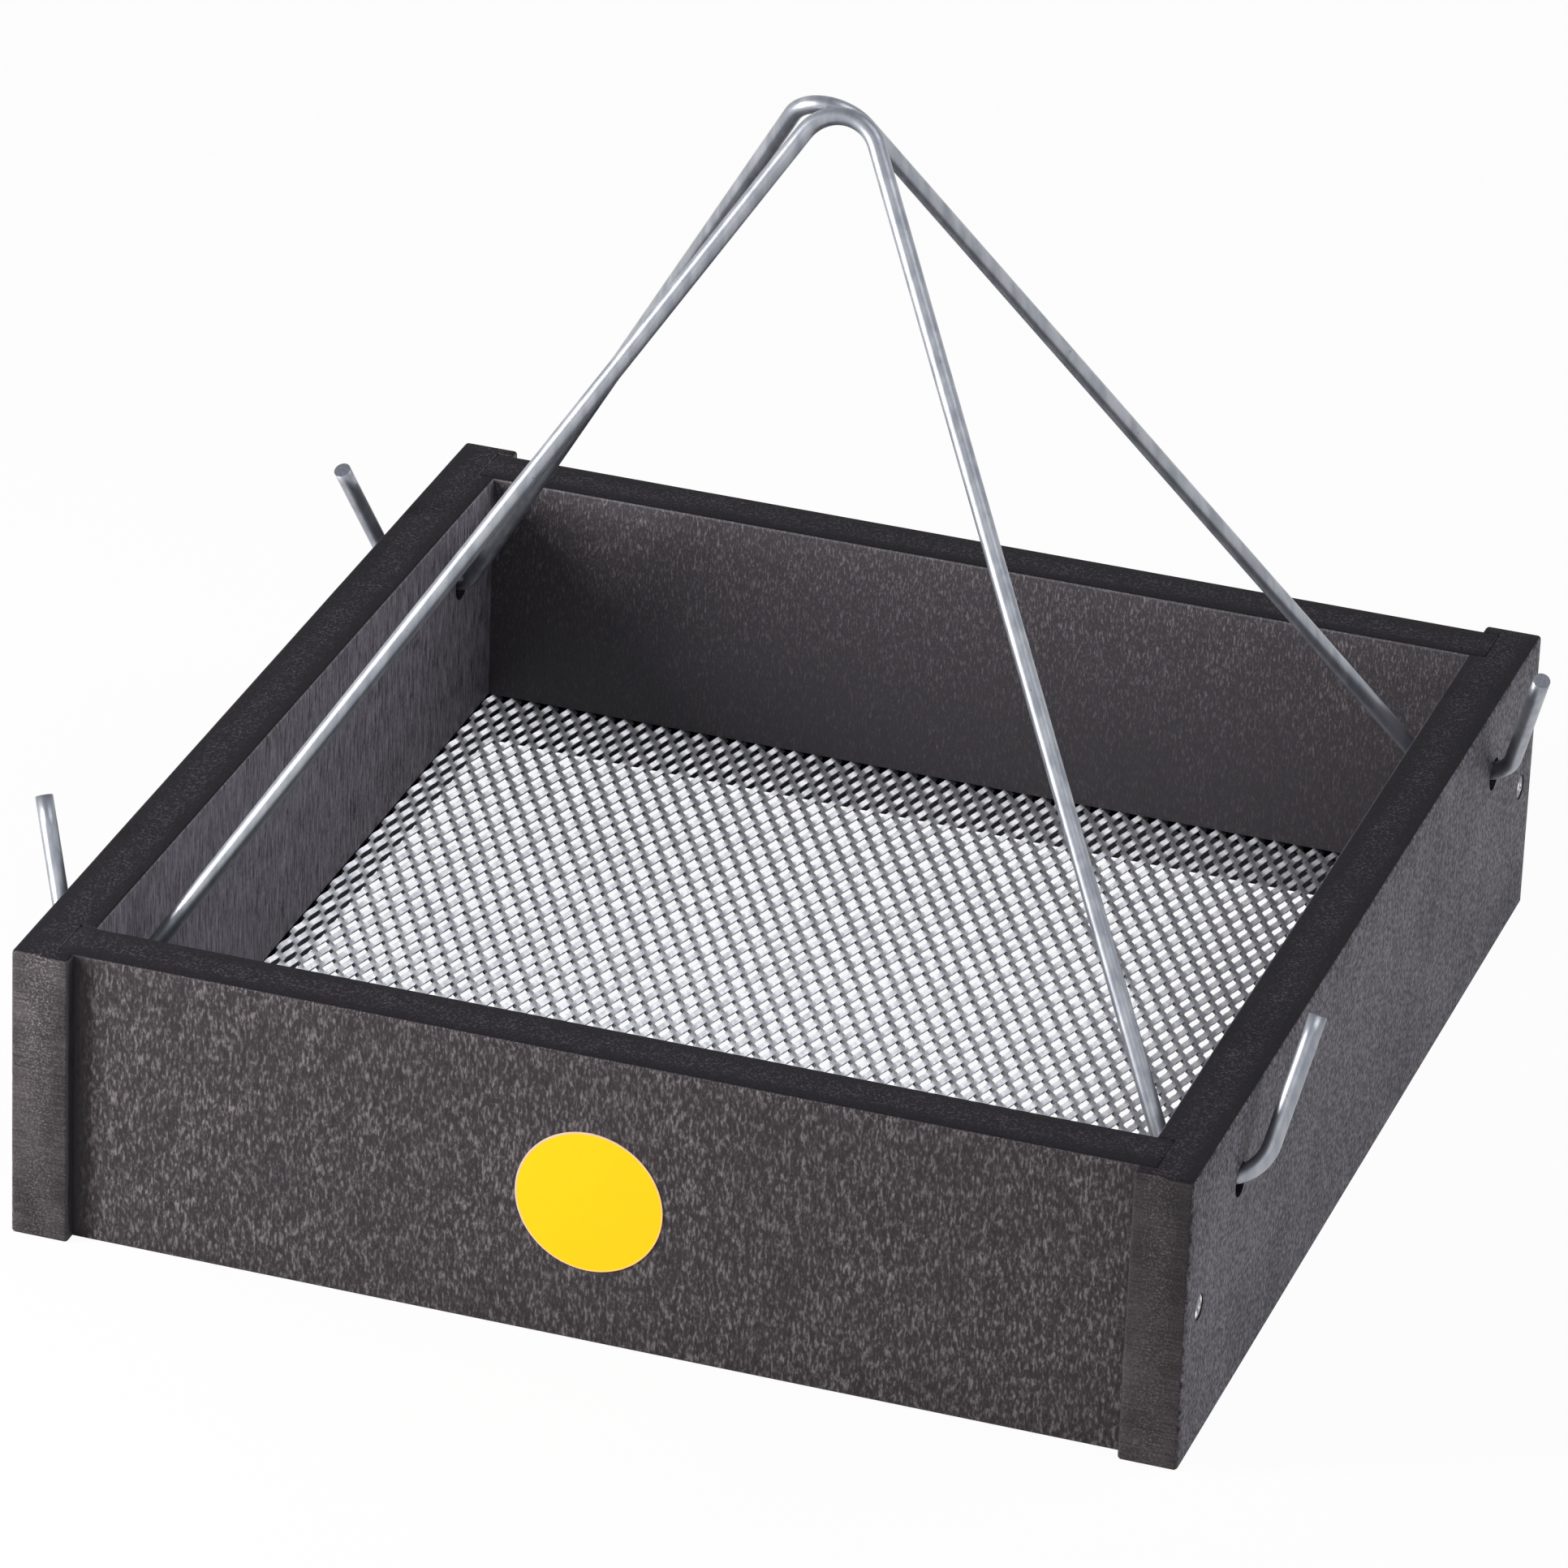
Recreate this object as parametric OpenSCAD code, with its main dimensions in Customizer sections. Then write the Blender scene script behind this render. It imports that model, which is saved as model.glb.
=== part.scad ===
/* [Tray] */
// Overall width, across the outer faces of the two side boards
body_w = 254; // [200:1:400]
// Overall depth, the length of the side boards
body_d = 266.7; // [220:0.1:400]
// Height of all four boards
board_h = 66.7; // [60:0.1:120]
// Thickness of the boards
board_t = 12.7; // [11:0.1:18]
// How far the side boards stand out past the front and back boards
end_step = 3.2; // [1.5:0.1:8]
// Radius of the eased edges of the boards
edge_r = 0.8; // [0.3:0.1:1.5]
// Depth of the upright slots that hold the ends of the front and back boards
dado_depth = 4; // [2:0.1:5]
// Clearance all round a board in its slot
dado_gap = 0.1; // [0.05:0.05:0.3]

/* [Screen floor] */
// Height of the underside of the screen above the base
screen_h = 10.1; // [6:0.1:20]
// Thickness of the flat web of the screen
screen_web_t = 0.9; // [0.6:0.1:1.5]
// Height of the raised strand edges above the web
screen_ridge_h = 0.9; // [0.4:0.1:1.5]
// Depth of the saw grooves that the screen's edges sit in
groove_depth = 4; // [2.5:0.1:5]
// Clearance above and below the screen, and past its edge, in the groove
groove_gap = 0.2; // [0.1:0.1:0.4]
// Diamond openings across the width
screen_cols = 10; // [6:1:10]
// Diamond openings from front to back
screen_rows = 5; // [3:1:5]
// Width of the strands between the openings
strand_w = 3.2; // [2:0.1:5]
// Width of the raised edge along each strand
ridge_w = 1.4; // [0.8:0.1:1.8]

/* [Hook holes] */
// Diameter of the holes that the hangers hook into
hole_d = 7.5; // [7:0.1:9]
// Height of the holes above the base
hole_h = 49; // [35:0.1:52]
// Distance of the holes from the ends of the side boards
hole_inset = 35.8; // [25:0.1:60]

/* [Hangers] */
// Diameter of the wire
wire_d = 3.8; // [3:0.1:3.9]
// Distance up a hanger from its holes to where its legs would cross
hanger_rise = 208.8; // [180:0.1:260]
// Radius of the bend at the top, to the middle of the wire
apex_r = 9; // [6:0.1:16]
// Sideways place of the front hanger's top
front_apex_x = 3.4; // [-5:0.1:5]
// Sideways place of the rear hanger's top
rear_apex_x = -2.3; // [-5:0.1:5]
// Gap between the boards' inner faces and the foot of each leg
foot_gap = 2.2; // [2:0.1:6]
// Sideways slip of the front hanger's legs in their holes
front_slip = -0.5; // [-0.8:0.1:0.8]
// Sideways slip of the rear hanger's legs in their holes
rear_slip = -1.2; // [-1.4:0.1:1.4]
// Radius of the bend at the foot of each leg, to the middle of the wire
foot_r = 7; // [6.5:0.1:7.5]
// Radius of the bend outside each hole, to the middle of the wire
hook_r = 10; // [9:0.1:10.5]
// How deep inside the board's outer face the outer bend starts
hook_start = 4.8; // [4:0.1:4.9]
// How far the straight runs of wire reach into the bends
bend_lap = 0.3; // [0.2:0.1:0.4]
// How much fuller the wire is in its bends, on the radius
bend_swell = 0.02; // [0.02:0.01:0.04]
// Clearance between the tops of the two hangers
apex_gap = 0.3; // [0.1:0.05:1]
// Lean of the front hanger's left hook away from the board
front_left_lean = 21; // [5:1:24]
// Lean of the front hanger's right hook away from the board
front_right_lean = 9; // [5:1:24]
// Lean of the rear hanger's left hook away from the board
rear_left_lean = 10; // [5:1:24]
// Lean of the rear hanger's right hook away from the board
rear_right_lean = 15; // [5:1:24]
// Height of the front hanger's left hook above its hole
front_left_hook = 30.4; // [20:0.1:45]
// Height of the front hanger's right hook above its hole
front_right_hook = 35.5; // [20:0.1:45]
// Height of the rear hanger's left hook above its hole
rear_left_hook = 36.2; // [20:0.1:45]
// Height of the rear hanger's right hook above its hole
rear_right_hook = 38.8; // [20:0.1:45]

/* [Corner screws] */
// Diameter of the screw heads
head_d = 5.6; // [5:0.1:6.5]
// Depth of the heads below the board's face
head_sink = 0.5; // [0.2:0.1:1.5]
// Diameter of the screws' shank
shank_d = 3.2; // [2.8:0.1:3.8]
// Length of the screws
screw_len = 32; // [24:0.5:45]
// Clearance round the screws in their holes
screw_gap = 0.05; // [0.02:0.01:0.1]
// Width of the slots of the cross recess
recess_w = 0.9; // [0.6:0.1:1.2]
// Span of the cross recess
recess_span = 3.2; // [2.4:0.1:3.6]
// Depth of the cross recess
recess_depth = 1.1; // [0.6:0.1:1.4]

/* [Round label] */
// Diameter of the label
label_d = 32; // [20:0.5:45]
// Thickness of the label
label_t = 0.2; // [0.1:0.05:0.5]
// Sideways place of the label's centre
label_x = -1; // [-60:1:60]
// Height of the label's centre
label_h = 33; // [25:1:36]

/* [Hidden] */
$fn = 48;
eps = 0.01;

side_in_x = body_w / 2 - board_t;
end_out_y = body_d / 2 - end_step;
end_in_y = end_out_y - board_t;
end_mid_y = end_out_y - board_t / 2;
end_board_len = 2 * (side_in_x + dado_depth - dado_gap);
hole_y = body_d / 2 - hole_inset;

screen_t = screen_web_t + screen_ridge_h;
screen_bite = groove_depth - groove_gap;
screen_w = 2 * (side_in_x + screen_bite);
screen_d = 2 * (end_in_y + screen_bite);
cell_w = 2 * side_in_x / screen_cols;
cell_d = 2 * end_in_y / screen_rows;

hanger_foot = side_in_x - foot_gap;
hook_start_x = body_w / 2 - hook_start;
half_angle = atan(hanger_foot / hanger_rise);
hanger_top = hanger_rise - apex_r / sin(half_angle) + apex_r;
hanger_tilt = asin((hole_y - (wire_d + apex_gap) / 2) / hanger_top);

head_h = (head_d - shank_d) / 2;
screw_z = board_h / 2;
screw_tip = 3;

plastic = "#413d40";
zinc = "#a9adb3";
mesh_metal = "#c4c6ca";
yellow = "#ffd200";

// A board with all its edges eased, centred on X and Y and standing on Z = 0
module eased_board(size) {
    intersection() {
        linear_extrude(size.z) rounded_plate(size.x, size.y);
        translate([0, size.y / 2, size.z / 2]) rotate([90, 0, 0])
            linear_extrude(size.y) rounded_plate(size.x, size.z);
        translate([-size.x / 2, 0, size.z / 2]) rotate([90, 0, 90])
            linear_extrude(size.x) rounded_plate(size.y, size.z);
    }
}

// Rectangle with round corners, centred
module rounded_plate(w, h) {
    square([w - 2 * edge_r, h], center = true);
    square([w, h - 2 * edge_r], center = true);
    for (x = [-1, 1], y = [-1, 1])
        translate([x * (w / 2 - edge_r), y * (h / 2 - edge_r)]) circle(edge_r);
}

// Round bore along X, from x = 0 towards the middle of the tray
module cross_bore(d, len) {
    rotate([0, 90, 0]) cylinder(d = d, h = len);
}

// Everything cut into the right-hand side board, in the tray's own place
module side_board_cuts() {
    slot_w = board_t + 2 * dado_gap;
    groove_len = 2 * end_in_y + 2 * eps;
    for (s = [-1, 1]) {
        translate([side_in_x - eps, s * end_mid_y - slot_w / 2, -eps])
            cube([dado_depth + eps, slot_w, board_h + 2 * eps]);
        translate([side_in_x - eps, s * hole_y, hole_h]) cross_bore(hole_d, board_t + 2 * eps);
        translate([body_w / 2, s * end_mid_y, screw_z]) screw_shape(screw_gap, board_t + eps, true);
    }
    translate([side_in_x - eps, -groove_len / 2, screen_h - groove_gap])
        cube([groove_depth + eps, groove_len, screen_t + 2 * groove_gap]);
}

// Side board on the right, or mirrored on the left
module side_board(side) {
    mirror([side < 0 ? 1 : 0, 0, 0]) difference() {
        translate([body_w / 2 - board_t / 2, 0, 0]) eased_board([board_t, body_d, board_h]);
        side_board_cuts();
    }
}

// Front board, or turned round as the back board
module end_board(side) {
    mirror([0, side < 0 ? 0 : 1, 0]) difference() {
        translate([0, -end_mid_y, 0]) eased_board([end_board_len, board_t, board_h]);
        translate([-body_w / 2, -end_in_y - groove_depth, screen_h - groove_gap])
            cube([body_w, groove_depth + eps, screen_t + 2 * groove_gap]);
        for (s = [0, 1])
            mirror([s, 0, 0]) translate([body_w / 2, -end_mid_y, screw_z])
                screw_shape(screw_gap, screw_len + head_sink, false);
    }
}

// One diamond opening with a strand of the given width left round it
module diamond(strand) {
    slope = atan2(cell_d, cell_w);
    half_w = cell_w / 2 - strand / 2 / sin(slope);
    half_d = cell_d / 2 - strand / 2 / cos(slope);
    polygon([[half_w, 0], [0, half_d], [-half_w, 0], [0, -half_d]]);
}

// All the openings: full rows, and the rows between them shifted by half a diamond
module diamond_field(strand) {
    intersection() {
        square([2 * side_in_x, 2 * end_in_y], center = true);
        for (shift = [0, 1])
            for (i = [0 : screen_cols - 1 + shift], j = [0 : screen_rows - 1 + shift])
                translate([
                    (i + (1 - shift) / 2) * cell_w - side_in_x,
                    (j + (1 - shift) / 2) * cell_d - end_in_y
                ]) diamond(strand);
    }
}

// Expanded metal sheet: flat web with a raised edge along every strand
module screen_sheet() {
    linear_extrude(screen_web_t) difference() {
        square([screen_w, screen_d], center = true);
        diamond_field(strand_w);
    }
    translate([0, 0, screen_web_t]) linear_extrude(screen_ridge_h) difference() {
        square([screen_w, screen_d], center = true);
        diamond_field(ridge_w);
    }
}

// Unit vector, heading and bend of a run of wire, all in the hanger's own plane
function unit(v) = v / norm(v);
function heading(a, b) = atan2(b.y - a.y, b.x - a.x);
function bend(p, i) = heading(p[i], p[i + 1]) - heading(p[i - 1], p[i]);
function cut_back(p, r, i) = (i == 0 || i == len(p) - 1) ? 0 : r[i] * tan(abs(bend(p, i)) / 2);

// Round wire through the points p, bent to the radii r, drawn in the XZ plane
module wire_run(p, r) {
    for (i = [0 : len(p) - 2]) {
        along = unit(p[i + 1] - p[i]);
        from = cut_back(p, r, i) - (i == 0 ? 0 : bend_lap);
        to = norm(p[i + 1] - p[i]) - cut_back(p, r, i + 1) + (i == len(p) - 2 ? 0 : bend_lap);
        start = p[i] + along * from;
        translate([start.x, 0, start.y]) rotate([0, 90 - heading(p[i], p[i + 1]), 0])
            cylinder(d = wire_d, h = to - from);
    }
    for (i = [1 : len(p) - 2]) {
        turn = bend(p, i);
        side = sign(turn);
        along = unit(p[i] - p[i - 1]);
        start = p[i] - along * cut_back(p, r, i);
        centre = start + side * r[i] * [-along.y, along.x];
        first = heading(p[i - 1], p[i]) - side * 90 + min(turn, 0);
        translate([centre.x, 0, centre.y]) rotate([90, 0, 0]) rotate([0, 0, first])
            rotate_extrude(angle = abs(turn)) translate([r[i], 0]) circle(d = wire_d + 2 * bend_swell);
    }
}

// Where the straight of a hook would meet the line through the holes
function hook_corner(lean) = hook_start_x + hook_r * tan((90 - lean) / 2);
function hook_tip(lean, rise) = hook_corner(lean) + rise * tan(lean);

// One hanger in its own plane: hook, foot, top, foot, hook
module hanger(apex_x, slip, leans, hooks) {
    points = [
        [-hook_tip(leans[0], hooks[0]), hooks[0]],
        [-hook_corner(leans[0]), 0],
        [slip - hanger_foot, 0],
        [apex_x, hanger_rise],
        [slip + hanger_foot, 0],
        [hook_corner(leans[1]), 0],
        [hook_tip(leans[1], hooks[1]), hooks[1]]
    ];
    radii = [0, hook_r, foot_r, apex_r, foot_r, hook_r, 0];
    wire_run(points, radii);
}

// Countersunk screw from a board's outer face at x = 0 towards -X; grown by the gap it is its own hole
module screw_shape(gap, depth, with_head) {
    rotate([0, -90, 0]) {
        if (with_head) {
            translate([0, 0, -eps]) cylinder(d = head_d + 2 * gap, h = head_sink + eps);
            translate([0, 0, head_sink])
                cylinder(d1 = head_d + 2 * gap, d2 = shank_d + 2 * gap, h = head_h);
        }
        translate([0, 0, head_sink]) cylinder(d = shank_d + 2 * gap, h = depth - head_sink);
    }
}

// One screw, its head flush with the bottom of its recess
module corner_screw() {
    rotate([0, -90, 0]) translate([0, 0, head_sink]) difference() {
        union() {
            cylinder(d1 = head_d, d2 = shank_d, h = head_h);
            cylinder(d = shank_d, h = screw_len - screw_tip);
            translate([0, 0, screw_len - screw_tip]) cylinder(d1 = shank_d, d2 = recess_w, h = screw_tip);
        }
        for (a = [0, 90])
            rotate([0, 0, a]) translate([-recess_span / 2, -recess_w / 2, -eps])
                cube([recess_span, recess_w, recess_depth + eps]);
    }
}

module left_board() {
    color(plastic) side_board(-1);
}

module right_board() {
    color(plastic) side_board(1);
}

module front_board() {
    color(plastic) end_board(-1);
}

module back_board() {
    color(plastic) end_board(1);
}

module screen_floor() {
    color(mesh_metal) translate([0, 0, screen_h]) screen_sheet();
}

module front_hanger() {
    color(zinc) translate([0, -hole_y, hole_h]) rotate([-hanger_tilt, 0, 0])
        hanger(front_apex_x, front_slip, [front_left_lean, front_right_lean], [front_left_hook, front_right_hook]);
}

module rear_hanger() {
    color(zinc) translate([0, hole_y, hole_h]) rotate([hanger_tilt, 0, 0])
        hanger(rear_apex_x, rear_slip, [rear_left_lean, rear_right_lean], [rear_left_hook, rear_right_hook]);
}

module corner_screws() {
    color("silver") for (x = [0, 1], y = [-1, 1])
        mirror([x, 0, 0]) translate([body_w / 2, y * end_mid_y, screw_z]) corner_screw();
}

module round_label() {
    color(yellow) translate([label_x, -end_out_y, label_h]) rotate([90, 0, 0]) cylinder(d = label_d, h = label_t);
}

left_board();
right_board();
front_board();
back_board();
screen_floor();
front_hanger();
rear_hanger();
corner_screws();
round_label();
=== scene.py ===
"""A hanging platform bird feeder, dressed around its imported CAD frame.

The tray of recycled-plastic boards, the expanded-metal floor, the two bent wire hangers, the corner screws and the
round label are built and finished here, and stand in a plain pale studio seen from the front right.
"""

from __future__ import annotations

import logging
import math
from collections.abc import Mapping, Sequence
from dataclasses import dataclass, field
from enum import Enum

import bmesh
import bpy
from mathutils import Matrix, Vector, noise


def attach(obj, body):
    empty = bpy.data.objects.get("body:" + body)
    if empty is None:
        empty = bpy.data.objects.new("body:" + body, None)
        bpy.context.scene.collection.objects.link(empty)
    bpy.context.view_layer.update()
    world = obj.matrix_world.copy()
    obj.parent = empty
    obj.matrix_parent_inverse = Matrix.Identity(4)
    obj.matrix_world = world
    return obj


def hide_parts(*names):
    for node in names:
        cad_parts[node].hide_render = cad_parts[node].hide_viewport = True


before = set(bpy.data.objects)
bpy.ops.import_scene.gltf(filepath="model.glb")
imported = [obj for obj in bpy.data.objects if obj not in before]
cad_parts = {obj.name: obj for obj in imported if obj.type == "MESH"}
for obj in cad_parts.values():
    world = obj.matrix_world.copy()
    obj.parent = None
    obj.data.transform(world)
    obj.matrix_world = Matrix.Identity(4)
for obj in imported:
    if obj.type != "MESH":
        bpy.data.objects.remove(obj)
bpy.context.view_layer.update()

LOG = logging.getLogger("bird_feeder")
MM = 0.001
SEED_SPREAD = (1.0, 1.7, 2.3)
CUTTER_SIDES = 48
Colour = tuple[float, float, float]
Point = tuple[float, float, float]
Pair = tuple[float, float]
WHITE: Colour = (1.0, 1.0, 1.0)


def srgb(red: float, green: float, blue: float) -> Colour:
    """Turns a colour read off a screen into the linear one that a shader takes.

    Args:
        red: Red from 0 to 255.
        green: Green from 0 to 255.
        blue: Blue from 0 to 255.

    Returns:
        The linear colour, each channel from 0 to 1.
    """
    knee, slope, offset, gamma = 0.04045, 12.92, 0.055, 2.4
    channels = (red / 255, green / 255, blue / 255)
    return tuple(c / slope if c <= knee else ((c + offset) / (1 + offset)) ** gamma for c in channels)


class Link:
    """A shader socket that takes part in Python expressions."""

    def __init__(self, paint: "Paint", socket: bpy.types.NodeSocket) -> None:
        """Keeps the material and the socket that gives the value."""
        self.paint = paint
        self.socket = socket

    def _math(self, operation: str, *values: "Value", clamp: bool = False) -> "Link":
        """Returns the result of one Math node on the values, held between 0 and 1 if asked."""
        settings = {"operation": operation, "use_clamp": clamp}
        return self.paint.take("ShaderNodeMath", settings, dict(enumerate(values)))

    def __add__(self, other: "Value") -> "Link":
        """Returns the sum."""
        return self._math("ADD", self, other)

    def __radd__(self, other: "Value") -> "Link":
        """Returns the sum with a number first."""
        return self._math("ADD", other, self)

    def __sub__(self, other: "Value") -> "Link":
        """Returns the difference."""
        return self._math("SUBTRACT", self, other)

    def __rsub__(self, other: "Value") -> "Link":
        """Returns the difference with a number first."""
        return self._math("SUBTRACT", other, self)

    def __mul__(self, other: "Value") -> "Link":
        """Returns the product."""
        return self._math("MULTIPLY", self, other)

    def __rmul__(self, other: "Value") -> "Link":
        """Returns the product with a number first."""
        return self._math("MULTIPLY", other, self)

    def __abs__(self) -> "Link":
        """Returns the size without its sign."""
        return self._math("ABSOLUTE", self)

    def clamped(self) -> "Link":
        """Returns the value held between 0 and 1."""
        return self._math("ADD", self, 0.0, clamp=True)

    def larger(self, other: "Value") -> "Link":
        """Returns the larger of two values."""
        return self._math("MAXIMUM", self, other)

    def sine(self) -> "Link":
        """Returns the sine of the value in radians."""
        return self._math("SINE", self)

    def root(self) -> "Link":
        """Returns the square root."""
        return self._math("SQRT", self)

    def step(self, start: float, end: float) -> "Link":
        """Rises smoothly from 0 to 1 as the value goes from start to end.

        Args:
            start: Where the result is still 0.
            end: Where the result has reached 1; below start, the step falls instead.

        Returns:
            The smooth step.
        """
        settings = {"interpolation_type": "SMOOTHSTEP"}
        low, high, bottom, top = (start, end, 0.0, 1.0) if start < end else (end, start, 1.0, 0.0)
        inputs = {"Value": self, "From Min": low, "From Max": high, "To Min": bottom, "To Max": top}
        return self.paint.take("ShaderNodeMapRange", settings, inputs, "Result")


Value = Link | float


@dataclass(frozen=True)
class Grain:
    """One grain of a finish: its size along x, y and z in millimetres, and how its finer layers are worked.

    The seed moves the pattern, so that two grains differ, and warp bends it out of line.
    """

    size_mm: Point
    seed: float = 0.0
    detail: float = 2.0
    rough: float = 0.5
    warp: float = 0.0


class Paint:
    """One material's node tree, written as Python expressions."""

    def __init__(self, name: str, tree: bpy.types.NodeTree | None = None) -> None:
        """Starts an empty material of that name, or empties the node tree that is given.

        Args:
            name: The material's name.
            tree: The sky's node tree, where the paint isn't for a surface.
        """
        self.material = None
        if tree is None:
            self.material = bpy.data.materials.new(name)
            self.material.use_nodes = True
            tree = self.material.node_tree
        self.tree = tree
        self.tree.nodes.clear()
        self.place = self.place_of("Object")

    def place_of(self, output: str) -> Link:
        """Returns one kind of coordinates."""
        return self.take("ShaderNodeTexCoord", {}, {}, output)

    def shown(self, gloss: Value = 1.0) -> Link:
        """Tells the rays that show the background from those that only carry light.

        Args:
            gloss: How much of it a glossy reflection shows.

        Returns:
            1 where a ray comes from the camera, a gloss or a clear thing, and 0 elsewhere.
        """
        path = self.node("ShaderNodeLightPath", {}, {})
        camera, glossy, clear = (
            Link(self, path.outputs[f"Is {kind} Ray"]) for kind in ("Camera", "Glossy", "Transmission")
        )
        return camera.larger(glossy * gloss).larger(clear)

    def node(self, kind: str, settings: Mapping[str, object], inputs: Mapping[str | int, object]) -> bpy.types.Node:
        """Adds a node.

        Args:
            kind: The node's Blender type.
            settings: The node's own settings, set before its sockets; stops gives a ramp's places and colours.
            inputs: Socket name or number to a value or a link.

        Returns:
            The new node.
        """
        node = self.tree.nodes.new(kind)
        for key, value in settings.items():
            if key == "stops":
                ramp = node.color_ramp
                while len(ramp.elements) < len(value):
                    ramp.elements.new(1.0)
                for element, (where, colour) in zip(ramp.elements, value):
                    element.position = where
                    element.color = (*colour, 1.0)
            else:
                setattr(node, key, value)
        for key, value in inputs.items():
            socket = node.inputs[key]
            if isinstance(value, Link):
                self.tree.links.new(value.socket, socket)
            elif socket.type == "RGBA" and len(value) == 3:
                socket.default_value = (*value, 1.0)
            else:
                socket.default_value = value
        return node

    def take(
        self, kind: str, settings: Mapping[str, object], inputs: Mapping[str | int, object], output: str | int = 0
    ) -> Link:
        """Adds a node, as node does, and returns one of its outputs by name or number."""
        return Link(self, self.node(kind, settings, inputs).outputs[output])

    def split(self, vector: Link) -> tuple[Link, Link, Link]:
        """Returns a vector's x, y and z."""
        return tuple(Link(self, output) for output in self.node("ShaderNodeSeparateXYZ", {}, {0: vector}).outputs)

    def axes(self) -> tuple[Link, Link, Link]:
        """Returns the x, y and z of the place on the object, in millimetres."""
        return self.split(self.stretch((1.0 / MM, 1.0 / MM, 1.0 / MM)))

    def stretch(self, factors: Point, offset: Point = (0.0, 0.0, 0.0)) -> Link:
        """Returns the object's coordinates, scaled and then shifted along x, y and z."""
        inputs = {0: self.place, 1: factors, 2: offset}
        return self.take("ShaderNodeVectorMath", {"operation": "MULTIPLY_ADD"}, inputs)

    def noise(self, grain: Grain) -> Link:
        """Makes one grain.

        Args:
            grain: Its size and how it is worked.

        Returns:
            A value round 0.5.
        """
        factors = tuple(1.0 / (MM * size) for size in grain.size_mm)
        where = self.stretch(factors, tuple(grain.seed * share for share in SEED_SPREAD))
        layers = {"Detail": grain.detail, "Roughness": grain.rough, "Distortion": grain.warp}
        return self.take("ShaderNodeTexNoise", {}, {"Vector": where, "Scale": 1.0, **layers})

    def blend(self, share: Value, first: object, second: object) -> Link:
        """Returns the mix of two colours, or links to them: the first where share is 0, the second where it is 1."""
        # A Mix node repeats its sockets for each kind of value, so the colours go by number
        return self.take("ShaderNodeMix", {"data_type": "RGBA"}, {0: share, 6: first, 7: second}, 2)

    def merge(self, share: Link, first: Link, second: Link) -> Link:
        """Returns the mix of two shaders."""
        return self.take("ShaderNodeMixShader", {}, {0: share, 1: first, 2: second})

    def bump(self, height: Link, depth_mm: float) -> Link:
        """Returns the normal of a surface whose height from 0 to 1 is so many millimetres deep."""
        return self.take("ShaderNodeBump", {}, {"Height": height, "Distance": depth_mm * MM, "Strength": 1.0})

    def finish(self, **sockets: object) -> bpy.types.Material:
        """Ends the material in a Principled shader.

        Args:
            **sockets: Values or links by socket name, with an underscore for each space.

        Returns:
            The finished material.
        """
        inputs = {name.replace("_", " "): value for name, value in sockets.items()}
        self.node("ShaderNodeOutputMaterial", {}, {"Surface": self.take("ShaderNodeBsdfPrincipled", {}, inputs)})
        return self.material


class BoardFace(Enum):
    """Which kind of surface of a board is finished."""

    FLECKED = "flecked"
    INNER = "inner"
    BRUSHED = "brushed"
    STROKED = "stroked"
    RIM = "rim"
    SAWN = "sawn"


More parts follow.
